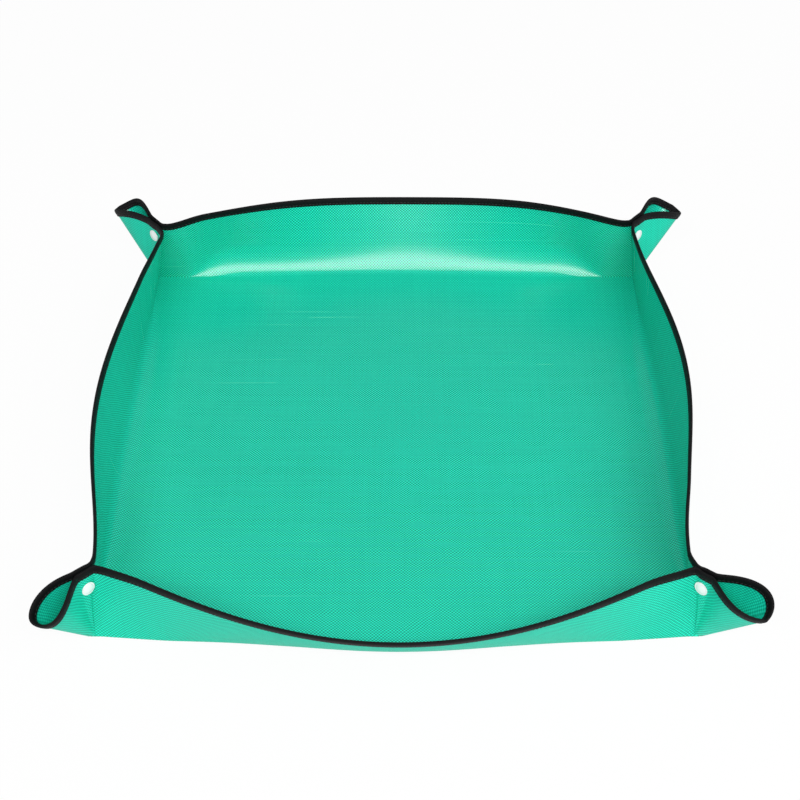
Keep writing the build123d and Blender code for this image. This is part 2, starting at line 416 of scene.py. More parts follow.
class NodeGraph:
    """A material's nodes, with short calls that add and join them."""

    def __init__(self, name: str) -> None:
        """Starts a material with a Principled shader.

        Args:
            name: The material's name.
        """
        self.material = bpy.data.materials.new(name)
        self.material.use_nodes = True
        self.tree = self.material.node_tree
        self.shader = self.tree.nodes["Principled BSDF"]

    def add(self, kind: str, inputs: dict | None = None, **fields: object) -> bpy.types.Node:
        """Adds one node.

        Args:
            kind: The node's type.
            inputs: Values or sockets for its inputs, by name or number.
            fields: Values of its own settings.

        Returns:
            The node.
        """
        node = self.tree.nodes.new(kind)
        for key, value in fields.items():
            setattr(node, key, value)
        for key, value in (inputs or {}).items():
            self.put(node.inputs[key], value)
        return node

    def put(self, socket: Socket, value: object) -> None:
        """Links a socket to another one, or sets its value.

        Args:
            socket: The input.
            value: Another node's output, or a plain value.
        """
        if isinstance(value, Socket):
            self.tree.links.new(value, socket)
        else:
            socket.default_value = value

    def math(self, operation: str, *values: object) -> Socket:
        """Adds a Math node with numbers or sockets for its inputs, and gives its result."""
        node = self.add("ShaderNodeMath", dict(enumerate(values)), operation=operation)
        return node.outputs[0]

    def flat_place(self) -> tuple[Socket, Socket, Socket]:
        """Adds nodes that tell where a point lies in the cut cloth.

        Returns:
            The place as a vector, and its two numbers.
        """
        place = self.add("ShaderNodeUVMap", uv_map=FLAT).outputs[0]
        parts = self.add("ShaderNodeSeparateXYZ", {0: place})
        return place, parts.outputs[0], parts.outputs[1]

    def noise(self, place: object, stretch: Triple, detail: float = 2.0) -> Socket:
        """Adds stretched noise about 0.

        Args:
            place: The vector that the noise is read at.
            stretch: Cells to the metre along each axis.
            detail: Number of finer layers.

        Returns:
            The noise, from about -0.5 to 0.5.
        """
        moved = self.add("ShaderNodeMapping", {"Vector": place, "Scale": stretch}).outputs[0]
        grain = self.add("ShaderNodeTexNoise", {"Vector": moved, "Scale": 1.0, "Detail": detail})
        return self.math("SUBTRACT", grain.outputs[0], 0.5)

    def mix(self, share: object, low: Colour, high: Colour) -> Socket:
        """Mixes two colours, from low where the share is 0 to high where it is 1."""
        node = self.add("ShaderNodeMix", {0: share, 6: low, 7: high}, data_type="RGBA")
        return node.outputs[2]

    def bump(self, height: object, distance: float) -> None:
        """Raises the surface by a height, where a height of 1 is a distance in metres."""
        node = self.add("ShaderNodeBump", {"Height": height, "Distance": distance, "Strength": 1.0})
        self.put(self.shader.inputs["Normal"], node.outputs[0])

    def set(self, **values: object) -> None:
        """Sets or links the shader's inputs, which are named with _ for a space."""
        for key, value in values.items():
            self.put(self.shader.inputs[key.replace("_", " ")], value)


@dataclass(frozen=True)
class SheetFinish:
    """One face of the green coated cloth, woven from flat yarns.

    The yarns wander a little and differ in colour and gloss from one to the next, clouds tint the cloth, and
    the weave fades to calm of its strength over calm_span from the middle. Its checker from deep to pale is
    partly the cloth's own weave and partly painted light: painted glints on the yarns, whose red rises as
    under white light, and painted shade between them. Cells are to the metre.
    """

    name: str
    rough: float
    shine: float
    weave_and_glint_contrast: float
    # deep holds painted shade between the yarns and pale holds painted glints on them, over the weave's own
    # two tones
    deep: Colour = (0.0010, 0.31, 0.195, 1.0)
    pale: Colour = (0.0180, 0.88, 0.63, 1.0)
    yarn: float = 0.00145
    relief: float = 0.00003
    calm: float = 0.4
    calm_span: Pair = (0.235, 0.285)
    wander: float = 7.0
    sway_cells: Triple = (48.0, 34.0, 1.0)
    drift_cells: Triple = (37.0, 52.0, 1.0)
    weft_cells: Triple = (5.0, 420.0, 1.0)
    warp_cells: Triple = (420.0, 7.0, 1.0)
    cloud_cells: Triple = (9.0, 9.0, 1.0)
    weft_tint: float = 0.22
    warp_tint: float = 0.12
    cloud_tint: float = 0.10
    weft_gloss: float = 0.10
    weft_relief: float = 0.5

    def make(self) -> Material:
        """Builds the material.

        Returns:
            The material.
        """
        graph = NodeGraph(self.name)
        place, x, y = graph.flat_place()
        step = math.pi / self.yarn
        sway = graph.math("MULTIPLY", graph.noise(place, self.sway_cells), self.wander)
        drift = graph.math("MULTIPLY", graph.noise(place, self.drift_cells), self.wander)
        over = graph.math("SINE", graph.math("MULTIPLY_ADD", x, step, sway))
        under = graph.math("SINE", graph.math("MULTIPLY_ADD", y, step, drift))
        weave = graph.math("MULTIPLY", over, under)
        weft = graph.noise(place, self.weft_cells)
        warp = graph.noise(place, self.warp_cells)
        cloud = graph.noise(place, self.cloud_cells, detail=3.0)
        near, far = self.calm_span
        calm = self.weave_and_glint_contrast * self.calm
        levels = {0: graph.math("ABSOLUTE", x), 1: near, 2: far, 3: self.weave_and_glint_contrast, 4: calm}
        strong = graph.add("ShaderNodeMapRange", levels, interpolation_type="SMOOTHSTEP").outputs[0]
        share = graph.math("MULTIPLY_ADD", weave, strong, 0.5)
        share = graph.math("MINIMUM", graph.math("MAXIMUM", share, 0.0), 1.0)
        for part, tint in ((weft, self.weft_tint), (warp, self.warp_tint), (cloud, self.cloud_tint)):
            share = graph.math("MULTIPLY_ADD", part, tint, share)
        gloss = graph.math("MULTIPLY_ADD", weft, self.weft_gloss, self.rough)
        # Base colour from deep to pale: the weave's own checker with painted yarn glints and painted shade in
        # it
        graph.set(Base_Color=graph.mix(share, self.deep, self.pale), Roughness=gloss)
        graph.set(Specular_IOR_Level=self.shine)
        graph.bump(graph.math("MULTIPLY_ADD", weft, self.weft_relief, weave), self.relief)
        return graph.material


@dataclass(frozen=True)
class TapeFinish:
    """The black ribbed tape sewn over the edge."""

    deep: Colour = (0.0015, 0.0015, 0.0018, 1.0)
    pale: Colour = (0.0060, 0.0060, 0.0070, 1.0)
    rib: float = 0.0011
    rib_tint: float = 0.22
    fuzz_cells: Triple = (900.0, 900.0, 1.0)
    fuzz_tint: float = 0.8
    fuzz_gloss: float = 0.2
    fuzz_relief: float = 0.8
    rough: float = 0.62
    shine: float = 0.18
    relief: float = 0.00012

    def make(self) -> Material:
        """Builds the material.

        Returns:
            The material.
        """
        graph = NodeGraph("binding_tape")
        place, along, _ = graph.flat_place()
        ribs = graph.math("SINE", graph.math("MULTIPLY", along, 2 * math.pi / self.rib))
        fuzz = graph.noise(place, self.fuzz_cells, detail=3.0)
        share = graph.math("MULTIPLY_ADD", ribs, self.rib_tint, 0.5)
        share = graph.math("MULTIPLY_ADD", fuzz, self.fuzz_tint, share)
        graph.set(Base_Color=graph.mix(share, self.deep, self.pale))
        graph.set(Roughness=graph.math("MULTIPLY_ADD", fuzz, self.fuzz_gloss, self.rough))
        graph.set(Specular_IOR_Level=self.shine)
        graph.bump(graph.math("MULTIPLY_ADD", fuzz, self.fuzz_relief, ribs), self.relief)
        return graph.material


@dataclass(frozen=True)
class ThreadFinish:
    """The dark sewing thread."""

    deep: Colour = (0.010, 0.009, 0.010, 1.0)
    pale: Colour = (0.045, 0.040, 0.042, 1.0)
    ply: float = 0.0006
    twist_tint: float = 0.4
    rough: float = 0.5
    relief: float = 0.00005

    def make(self) -> Material:
        """Builds the material.

        Returns:
            The material.
        """
        graph = NodeGraph("sewing_thread")
        _, along, across = graph.flat_place()
        slant = graph.math("ADD", along, across)
        twist = graph.math("SINE", graph.math("MULTIPLY", slant, 2 * math.pi / self.ply))
        share = graph.math("MULTIPLY_ADD", twist, self.twist_tint, 0.5)
        graph.set(Base_Color=graph.mix(share, self.deep, self.pale), Roughness=self.rough)
        graph.bump(twist, self.relief)
        return graph.material


@dataclass(frozen=True)
class SnapFinish:
    """The white moulded plastic of the press snaps."""

    deep: Colour = (0.86, 0.88, 0.88, 1.0)
    pale: Colour = (0.95, 0.97, 0.97, 1.0)
    cloud_cells: Triple = (260.0, 260.0, 260.0)
    cloud_tint: float = 0.9
    fine_cells: Triple = (2200.0, 2200.0, 2200.0)
    fine_gloss: float = 0.12
    rough: float = 0.24
    shine: float = 0.5
    coat: float = 0.2
    coat_rough: float = 0.12
    relief: float = 0.00002

    def make(self) -> Material:
        """Builds the material.

        Returns:
            The material.
        """
        graph = NodeGraph("snap_plastic")
        place = graph.add("ShaderNodeTexCoord").outputs["Object"]
        cloud = graph.noise(place, self.cloud_cells, detail=3.0)
        fine = graph.noise(place, self.fine_cells)
        share = graph.math("MULTIPLY_ADD", cloud, self.cloud_tint, 0.5)
        graph.set(Base_Color=graph.mix(share, self.deep, self.pale))
        graph.set(Roughness=graph.math("MULTIPLY_ADD", fine, self.fine_gloss, self.rough))
        graph.set(Specular_IOR_Level=self.shine, Coat_Weight=self.coat, Coat_Roughness=self.coat_rough)
        graph.bump(fine, self.relief)
        return graph.material


@dataclass
class Finishes:
    """One material of each finish, shared by the pieces."""

    sheet: Material = field(
        default_factory=SheetFinish("coated_sheet", rough=0.25, shine=0.5, weave_and_glint_contrast=1.2).make
    )
    back: Material = field(
        default_factory=SheetFinish("sheet_back", rough=0.55, shine=0.2, weave_and_glint_contrast=0.8).make
    )
    tape: Material = field(default_factory=TapeFinish().make)
    thread: Material = field(default_factory=ThreadFinish().make)
    snap: Material = field(default_factory=SnapFinish().make)


def add_object(name: str, data: bpy.types.ID) -> Piece:
    """Puts a new object into the scene.

    Args:
        name: The object's name.
        data: Its mesh, lamp or camera.

    Returns:
        The object.
    """
    item = bpy.data.objects.new(name, data)
    bpy.context.scene.collection.objects.link(item)
    return item


def new_piece(name: str, points: Array, faces: list, flat: Array, finish: Material,
              sharp: float = 40.0, back: Material | None = None) -> Piece:
    """Makes a mesh piece with its place in the cut cloth.

    Args:
        name: The piece's name.
        points: Its points, in metres.
        faces: Its faces, as rows of point numbers.
        flat: Where each point lies in the cut cloth.
        finish: Its material.
        sharp: Edges that turn by more than this many degrees stay sharp.
        back: Material of the faces on a sheet's outer side, which come first.

    Returns:
        The new object.
    """
    mesh = bpy.data.meshes.new(name)
    mesh.from_pydata(points.tolist(), [], faces)
    work = bmesh.new()
    work.from_mesh(mesh)
    bmesh.ops.recalc_face_normals(work, faces=work.faces)
    work.to_mesh(mesh)
    work.free()
    order = np.zeros(len(mesh.loops), np.int32)
    mesh.loops.foreach_get("vertex_index", order)
    layer = mesh.uv_layers.new(name=FLAT)
    layer.data.foreach_set("uv", flat[order].astype(np.float32).ravel())
    mesh.polygons.foreach_set("use_smooth", np.ones(len(mesh.polygons), bool))
    mesh.set_sharp_from_angle(angle=math.radians(sharp))
    mesh.materials.append(finish)
    if back is not None:
        mesh.materials.append(back)
        half = len(points) // 2
        outer = [int(max(face.vertices) < half) for face in mesh.polygons]
        mesh.polygons.foreach_set("material_index", np.array(outer, np.int32))
    piece = add_object(name, mesh)
    LOG.info("piece %s: %d points, %d faces", name, len(mesh.vertices), len(mesh.polygons))
    return piece


def run_lengths(points: Array) -> Array:
    """Distance along a run of points to each of them."""
    steps = np.linalg.norm(np.diff(points, axis=0), axis=1)
    return np.concatenate(((0.0,), np.cumsum(steps)))


def grid_normals(points: Array, hint: Array) -> Array:
    """Unit normals of rows and columns of points, on the side that hint looks to."""
    normals = unit(np.cross(np.gradient(points, axis=0), np.gradient(points, axis=1)))
    return normals * (1.0 if float((normals @ hint).sum()) > 0 else -1.0)


def sheet_shell(outer: Array, inner: Array) -> tuple[Array, list]:
    """Closes two grids of points into one thin solid sheet.

    Args:
        outer: Rows and columns of points on the outer face.
        inner: The same on the inner face.

    Returns:
        The points and the faces.
    """
    rows, cols = outer.shape[:2]
    count = rows * cols
    index = np.arange(count).reshape(rows, cols)
    quads = np.stack((index[:-1, :-1], index[:-1, 1:], index[1:, 1:], index[1:, :-1]), -1).reshape(-1, 4)
    ring = np.concatenate((index[0, :-1], index[:-1, -1], index[-1, :0:-1], index[:0:-1, 0]))
    after = np.roll(ring, -1)
    edge = np.stack((after, ring, ring + count, after + count), -1)
    faces = np.concatenate((quads, quads[:, ::-1] + count, edge)).tolist()
    return np.concatenate((outer.reshape(-1, 3), inner.reshape(-1, 3))), faces


def ring_faces(base: int, rings: int, sides: int) -> list[list[int]]:
    """Faces of a closed tube of rings.

    Args:
        base: Number of the first point.
        rings: Number of rings.
        sides: Points in each ring.

    Returns:
        The faces, with a cap at each end.
    """
    faces = []
    for row in range(rings - 1):
        for k in range(sides):
            low, after = base + row * sides, (k + 1) % sides
            faces.append([low + k, low + after, low + sides + after, low + sides + k])
    last = base + (rings - 1) * sides
    return faces + [list(range(base, base + sides)), list(range(last, last + sides))]


def held_back(points: Array, keep: Plane | None) -> Array:
    """Presses points onto a plane that they would pass.

    Args:
        points: The points.
        keep: A point of the plane and its direction, or None.

    Returns:
        The points, none behind the plane.
    """
    if keep is None:
        return points
    place, way = keep
    behind = np.minimum((points - place) @ way, 0.0)
    return points - behind[:, None] * way


@dataclass
class Rim:
    """A run of the sheet's edge that the tape is sewn over."""

    points: Array
    up: Array
    inward: Array

    @classmethod
    def along(cls, points: Array, below: Array, hint: Array) -> "Rim":
        """Makes a run from the edge and a line just below it.

        Args:
            points: Points along the edge, on the outer face.
            below: The same a little below the edge.
            hint: A direction on the inner side, at the run's start.

        Returns:
            The run.
        """
        way = unit(np.gradient(points, axis=0))
        up = points - below
        up = unit(up - (up * way).sum(-1, keepdims=True) * way)
        inward = np.cross(way, up)
        if float(inward[0] @ hint) < 0:
            inward = -inward
        return cls(points, up, inward)

    def at(self, spot: float, length: Array) -> list[Array]:
        """The edge's point, its way up and its way inward at a distance along the run."""
        parts = (self.points, self.up, self.inward)
        return [np.array([np.interp(spot, length, part[:, k]) for k in range(3)]) for part in parts]


@dataclass
class EdgeTape:
    """The tape folded over a run of the edge, and the stitches that hold it.

    The seam lies seam_up from the tape's lower edge and sinks to seam_sink of the puff. Each row of
    stitch_shape gives a place along a stitch, its width there and its lift, in shares of the stitch's
    length and radius.
    """

    sizes: TraySizes
    finishes: Finishes
    reach: float = 0.0010
    puff: float = 0.00105
    lip: float = 0.00070
    seam_up: float = 0.0019
    seam_sink: float = 0.72
    stitch_pitch: float = 0.0036
    stitch_length: float = 0.0027
    stitch_r: float = 0.00030
    stitch_sides: int = 6
    stitch_lift: float = 0.35
    stitch_flat: float = 0.75
    stitch_shape: tuple[Triple, ...] = (
        (-0.5, 0.25, -0.6), (-0.36, 0.9, -0.05), (0.0, 1.0, 0.15), (0.36, 0.9, -0.05), (0.5, 0.25, -0.6),
    )

    def section(self) -> Array:
        """The tape's section, from one lower edge over the rim to the other.

        Returns:
            Distances past the edge and from the outer face.
        """
        depth, t = self.sizes.binding_depth, self.sizes.sheet_t
        half = [
            (-depth, -0.0001), (-depth, -self.lip), (-depth + 0.0005, -self.puff * 0.95),
            (-depth + self.seam_up * 0.65, -self.puff * 0.93),
            (-depth + self.seam_up, -self.puff * self.seam_sink),
            (-depth + self.seam_up * 1.35, -self.puff * 0.95), (-depth * 0.45, -self.puff * 1.06),
            (-0.0015, -self.puff), (-0.0004, -self.puff * 0.86), (self.reach * 0.62, -self.puff * 0.45),
            (self.reach * 0.93, -t * 0.05),
        ]
        other = [(a, t - b) for a, b in reversed(half)]
        return np.array(half + [(self.reach, t / 2)] + other)

    def wrap(self, name: str, rim: Rim, keep: Plane | None) -> Piece:
        """Builds the tape over a run of the edge.

        Args:
            name: The piece's name.
            rim: The run.
            keep: A plane that the tape doesn't pass, or None.

        Returns:
            The tape.
        """
        section = self.section()
        a, b = section[:, 0][None, :, None], section[:, 1][None, :, None]
        points = rim.points[:, None] + rim.up[:, None] * a + rim.inward[:, None] * b
        flat = np.stack(np.broadcast_arrays(run_lengths(rim.points)[:, None], run_lengths(section)), -1)
        faces = ring_faces(0, len(rim.points), len(section))
        points = held_back(points.reshape(-1, 3), keep)
        return new_piece(name, points, faces, flat.reshape(-1, 2), self.finishes.tape, sharp=55.0)

    def sew(self, name: str, rim: Rim, keep: Plane | None) -> Piece:
        """Builds the stitches on both faces of the tape.

        Args:
            name: The piece's name.
            rim: The run.
            keep: A plane that the stitches don't pass, or None.

        Returns:
            The stitches, as one piece.
        """
        length = run_lengths(rim.points)
        count = max(1, int(length[-1] / self.stitch_pitch))
        middle = (np.arange(count) + 0.5) * length[-1] / count
        ring = np.linspace(0.0, 2 * math.pi, self.stitch_sides, endpoint=False)
        seam, sink = self.seam_up - self.sizes.binding_depth, self.puff * self.seam_sink
        points, flat, faces = [], [], []
        for face_b, out in ((-sink, -1.0), (self.sizes.sheet_t + sink, 1.0)):
            for place in middle:
                faces += ring_faces(len(points), len(self.stitch_shape), len(ring))
                for step, wide, lift in self.stitch_shape:
                    spot = place + step * self.stitch_length
                    origin, up, inward = rim.at(spot, length)
                    for angle in ring:
                        a = seam + self.stitch_r * wide * math.cos(angle)
                        high = self.stitch_lift + lift + self.stitch_flat * wide * math.sin(angle)
                        points.append(origin + up * a + inward * (face_b + out * self.stitch_r * high))
                        flat.append((spot, self.stitch_r * angle))
        points = held_back(np.array(points), keep)
        return new_piece(name, points, faces, np.array(flat), self.finishes.thread, sharp=80.0)


@dataclass(frozen=True)
class Carry:
    """The body that a piece moves with, or two bodies that it lies between."""

    body: str
    other: str | None = None
    start: Triple = (0.0, 0.0, 0.0)
    end: Triple = (0.0, 0.0, 0.0)

    def take(self, piece: Piece) -> None:
        """Ties a piece to its body where it has one; where it has two, only bakes the piece's place into its
        mesh.

        Args:
            piece: The piece.
        """
        if self.other is None:
            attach(piece, self.body)
        else:
            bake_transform(piece)


@dataclass
class SheetPart:
    """What every part of the mat is made from: the sheet's shape and the materials."""

    form: SheetForm
    finishes: Finishes

    @property
    def sizes(self) -> TraySizes:
        """Sizes of the folded mat."""
        return self.form.sizes

    def make_sheet(self, name: str, outer: Array, inner: Array, flat: Array,
                   keep: Plane | None = None) -> Piece:
        """Makes a piece of the coated sheet.

        Args:
            name: The piece's name.
            outer: Rows and columns of points on its outer face.
            inner: The same on its inner face.
            flat: Their places in the cut cloth.
            keep: A plane that the piece doesn't pass, or None.

        Returns:
            The piece.
        """
        points, faces = sheet_shell(outer, inner)
        points, both = held_back(points, keep), np.tile(flat.reshape(-1, 2), (2, 1))
        piece = new_piece(name, points, faces, both, self.finishes.sheet, back=self.finishes.back)
        return piece

    def make_panel(self, name: str, outer: Array, inner: Array, flat: Array, rim: Rim,
                   keep: Plane | None = None) -> tuple[Piece, Piece, Piece]:
        """Makes a panel of the sheet with its bound edge.

        Args:
            name: The panel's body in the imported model.
            outer: Rows and columns of points on its outer face.
            inner: The same on its inner face.
            flat: Their places in the cut cloth.
            rim: The edge.
            keep: A plane that the pieces don't pass, or None.

        Returns:
            The sheet, the tape and the stitches.
        """
        tailor = EdgeTape(self.sizes, self.finishes)
        sheet = self.make_sheet(f"sheet_{name}", outer, inner, flat, keep)
        tape = tailor.wrap(f"tape_{name}", rim, keep)
        thread = tailor.sew(f"stitches_{name}", rim, keep)
        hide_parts(f"{name}_panel")
        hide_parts(f"{name}_binding")
        return sheet, tape, thread


@dataclass
class FloorPanel(SheetPart):
    """The flat middle of the sheet."""

    cells: int = 120

    def rounded(self, place: Array) -> Array:
        """Rounds the four corners.

        Args:
            place: Level places on the floor.

        Returns:
            The places, with none outside a corner's round.
        """
        radius = self.sizes.floor_corner_r
        past = np.abs(place) - (self.sizes.fold - radius)
        far = np.linalg.norm(past, axis=-1)
        beyond = (past.min(-1) > 0) & (far > radius)
        cut = np.where(beyond, 1.0 - radius / np.maximum(far, radius), 0.0)[..., None]
        return place - np.sign(place) * past * cut

    def build(self) -> None:
        """Builds the floor out to where the wall bends start."""
        form, fold = self.form, self.sizes.fold
        shares = np.linspace(-1, 1, self.cells + 1)
        u, v = np.meshgrid(shares, shares, indexing="ij")
        x = u * form.floor_edge(WALLS[Side.RIGHT], v * fold)
        back, front = (form.floor_edge(WALLS[side], u * fold) for side in (Side.BACK, Side.FRONT))
        y = v * np.where(v > 0, back, front)
        place = self.rounded(np.stack((x, y), -1))
        outer = np.concatenate((place, np.zeros_like(x)[..., None]), -1)
        flat = outer[..., :2]
        piece = self.make_sheet("sheet_floor", outer, outer + UP * self.sizes.sheet_t, flat)
        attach(piece, "floor")
        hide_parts("floor_panel")


@dataclass
class WallRun(SheetPart):
    """One length of a wall: its sheet, its tape and its stitches.

    An end of None means that the run goes on to the corner crease there. It laps the crease, and within
    snap_span of the snap's height it laps less by snap_ease.
    """

    name: str
    line: WallLine
    ends: Ends
    sheet_carry: Carry
    tape_carry: Carry
    bend_rows: int = 12
    plain_rows: int = 2
    wall_rows: int = 26
    lip_rows: int = 6
    cell: float = 0.004
    least_cells: int = 6
    lap: float = 0.004
    lap_drop: float = 0.00005
    tape_over: float = 0.0005
    snap_span: Pair = (0.0055, 0.0085)
    snap_ease: float = 0.5

    @property
    def from_floor(self) -> bool:
        """Whether the run's sheet starts on the floor."""
        return self.sheet_carry.body == "floor"

    def spans(self, height: Array, over: float = 0.0) -> list[Array]:
        """Where the run starts and ends along the wall.

        Args:
            height: Distance up the wall from its fold.
            over: How far the run goes past a crease.

        Returns:
            The two distances from the wall's middle.
        """
        sizes = self.sizes
        beside = 1.0 - ease(np.abs(height - sizes.snap_height), *self.snap_span)
        crease = self.form.crease_end(height) + sizes.crease_lap * (1.0 - self.snap_ease * beside) + over
        return [
            crease * sign if end is None else np.full_like(height, end)
            for end, sign in zip(self.ends, (-1.0, 1.0))
        ]

    def columns(self) -> Array:
        """Shares of the run, one for each column of its grid."""
        low, high = self.spans(np.zeros(1))
        return np.linspace(0.0, 1.0, max(self.least_cells, int((high - low)[0] / self.cell)) + 1)

    def places(self, height: Array, over: float = 0.0) -> Array:
        """Where the columns of the grid stand along the wall at a height, with over past a crease."""
        low, high = self.spans(height, over)
        return low + (high - low) * self.columns()

    def grid(self) -> Grid:
        """Sets out the sheet's outer face, from the floor to the rim.

        Returns:
            The points, and their places in the cut cloth.
        """
        form, line, side = self.form, self.line, self.line.side
        foot = self.places(np.zeros(1))
        size, edge = form.bend_at(line, foot), form.floor_edge(line, foot)
        bends = self.bend_rows if size.max() > self.sizes.fold_bend else self.plain_rows
        turns = np.linspace(0.0, 1.0, bends + 1)[:-1]
        rows = [form.foot_bend(line, foot, np.full_like(foot, turn)) for turn in turns]
        if self.from_floor:
            rows.insert(0, rows[0] - side.outward * self.lap - UP * self.lap_drop)
            edge = edge - self.lap
        alongs = [foot] * len(rows)
        crest = self.places(np.full_like(size, self.sizes.wall_height))
        for rise in np.linspace(0.0, 1.0, self.wall_rows + 1):
            height = size + (form.stand(line, crest) - size) * rise
            alongs.append(self.places(height))
            rows.append(form.strip(line, alongs[-1], height))
        points, along = np.stack(rows), np.stack(alongs)
        steps = np.linalg.norm(np.diff(points, axis=0), axis=-1)
        out = edge + np.concatenate((np.zeros((1, len(size))), np.cumsum(steps, axis=0)))
        return points, out[..., None] * side.outward[:2] + along[..., None] * side.along[:2]

    def rim(self) -> Rim:
        """Sets out the run's upper edge, a little past a crease.

        Returns:
            The edge.
        """
        full = np.full(len(self.columns()), self.sizes.wall_height)
        along = self.places(full, self.tape_over)
        height = self.form.stand(self.line, along)
        points, below = (self.form.strip(self.line, along, height - down) for down in (0.0, RIM_STEP))
        return Rim.along(points, below, -self.line.side.outward)

    def build(self) -> None:
        """Builds the sheet, the tape and the stitches, and ties each one to its body where its carry has only
        one.

        The lower rows of a rolled fold are a part of their own, which stays with the floor.
        """
        outer, flat = self.grid()
        inner = outer + grid_normals(outer, UP - self.line.side.outward) * self.sizes.sheet_t
        if self.line.roll and self.from_floor:
            lip, rest = slice(self.lip_rows + 1), slice(self.lip_rows, None)
            name = f"sheet_fold_{self.line.side.word}"
            fold = self.make_sheet(name, outer[lip], inner[lip], flat[lip])
            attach(fold, "floor")
            outer, inner, flat = outer[rest], inner[rest], flat[rest]
        sheet, tape, thread = self.make_panel(self.name, outer, inner, flat, self.rim())
        self.sheet_carry.take(sheet)
        self.tape_carry.take(tape)
        self.tape_carry.take(thread)


@dataclass
class EarHalf(SheetPart):
    """One half of a pinched corner: its sheet, tape, stitches and snap cap.

    Its loop rises from the crease by the power tear_rise and comes back to the spine by tear_end. The two
    halves part within close_angle of the crease, in degrees, and gather towards the spine, where they slip
    past each other. The rim's dip and pull go over spans of the half. The tape starts at the angle
    tape_start, in radians.
    """

    corner: Corner
    side: Side
    start_r: float = 0.0012
    angle_steps: int = 44
    angle_power: float = 1.7
    radius_steps: int = 26
    tear_rise: float = 1.30
    tear_end: float = 0.45
    close_angle: float = 8.0
    gather: float = 1.5
    slip_power: int = 3
    dip_span: Pair = (0.1, 0.9)
    pull_span: Pair = (0.2, 1.0)
    tape_start: float = -0.006

    @property
    def name(self) -> str:
        """The half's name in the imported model."""
        return f"ear_{self.corner.word}_{self.side.word}"

    @property
    def diagonal(self) -> Array:
        """The level direction out of the corner."""
        return self.corner.outward / math.sqrt(2.0)

    @property
    def outer(self) -> Array:
        """The direction that the half's outer face looks."""
        way = np.array((self.corner.value[0], -self.corner.value[1], 0.0)) / math.sqrt(2.0)
        return way if self.side is self.corner.deep_side else -way

    @property
    def corner_point(self) -> Array:
        """The corner of the floor."""
        return self.corner.outward * self.sizes.fold

    def axes(self) -> tuple[Array, Array, Array]:
        """Sets out the corner's crease.

        Returns:
            The crease's foot, its direction and the direction across the ear.
        """
        s = self.sizes
        tilt = s.crease_tilt
        foot = self.corner_point - self.diagonal * s.crease_offset
        crease = UP * math.cos(tilt) - self.diagonal * math.sin(tilt)
        across = self.diagonal * math.cos(tilt) + UP * math.sin(tilt)
        return foot, crease, across

    def place(self, radius: Array, angle: Array) -> Array:
        """Points on the half's outer face.

        Args:
            radius: Distance from the crease's foot.
            angle: Angle from the crease towards the spine, in radians.

        Returns:
            The points, on one more axis.
        """
        s = self.sizes
        pinch = PINCHES[self.corner]
        loop, end, hang = pinch.across_loop, pinch.across_end, 0.0
        if self.side is self.corner.deep_side:
            loop, end, hang = pinch.deep_loop, self.tear_end, pinch.hang
        foot, crease, across = self.axes()
        flat_part = math.radians(s.ear_flat_angle)
        share = np.clip((angle - flat_part) / (s.ear_sector - flat_part), 0.0, 1.0)
        close = (s.crease_offset - s.crease_gap) * (1.0 - ease(angle, 0.0, math.radians(self.close_angle)))
        best = self.tear_rise / (self.tear_rise + end)
        top = best ** self.tear_rise * (1.0 - best) ** end
        tear = share ** self.tear_rise * (1.0 - share) ** end / top
        middle = self.form.rim_radius(np.array((flat_part + s.ear_sector) / 2))
        bulge = (radius * loop / middle * tear)[..., None]
        off = (s.crease_offset * (1.0 - share ** self.gather) - close)[..., None]
        ray = np.cos(angle)[..., None] * crease + np.sin(angle)[..., None] * across
        flat = foot + close[..., None] * self.diagonal + radius[..., None] * ray + off * self.outer
        slip = np.minimum(s.spine_slip - s.spine_taper * radius, radius) * share ** self.slip_power
        past = math.cos(s.ear_sector) * across - math.sin(s.ear_sector) * crease
        below = self.edge_radius(angle) - radius
        moved = self.form.rounding(self.side, self.corner, radius * np.sin(angle), below)
        return flat + slip[..., None] * past + bulge * (self.outer - UP * hang) + moved

    def angles(self) -> Array:
        """Angles of the grid's columns, closer together at the spine."""
        t = np.linspace(0.0, 1.0, self.angle_steps + 1)
        return self.sizes.ear_sector * (1.0 - (1.0 - t) ** self.angle_power)

    def edge_radius(self, angle: Array) -> Array:
        """Distance from the crease's foot to the half's rim.

        Args:
            angle: Angle from the crease towards the spine, in radians.

        Returns:
            The distances.
        """
        s = self.sizes
        pinch = PINCHES[self.corner]
        share = angle / s.ear_sector
        dip = pinch.dip / math.sin(s.wall_sector) * (1.0 - ease(share, *self.dip_span))
        return self.form.rim_radius(angle) * (1.0 - pinch.pull * ease(share, *self.pull_span)) - dip

    def grid(self) -> Grid:
        """Sets out the half's outer face, from the crease to the spine.

        Returns:
            The points, and their places in the cut cloth.
        """
        s = self.sizes
        angle = self.angles()
        share = np.linspace(0.0, 1.0, self.radius_steps + 1)[:, None]
        radius = self.start_r + (self.edge_radius(angle) - self.start_r) * share
        angle = np.broadcast_to(angle, radius.shape)
        turn = s.wall_sector + angle
        back = -self.side.along[:2] * (self.corner.value[1] if self.side.value[0] else self.corner.value[0])
        ray = np.cos(turn)[..., None] * back + np.sin(turn)[..., None] * self.side.outward[:2]
        return self.place(radius, angle), self.corner_point[:2] + radius[..., None] * ray

    def rim(self) -> Rim:
        """Sets out the half's upper edge.

        Returns:
            The edge.
        """
        angle = self.angles()
        angle[0] = self.tape_start
        radius = self.edge_radius(angle)
        points, below = (self.place(radius - down, angle) for down in (0.0, RIM_STEP))
        return Rim.along(points, below, -self.outer)

    def build(self) -> None:
        """Builds the half's pieces and ties them to its body."""
        keep = (self.corner_point, self.outer)
        outer, flat = self.grid()
        inner = outer + grid_normals(outer, -self.outer) * self.sizes.sheet_t
        panel = self.make_panel(self.name, outer, inner, flat, self.rim(), keep)
        cap = SnapCap(self.finishes).build(self)
        for piece in (*panel, cap):
            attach(piece, self.name)
        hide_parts(f"snap_{self.corner.word}_{self.side.word}_cap")


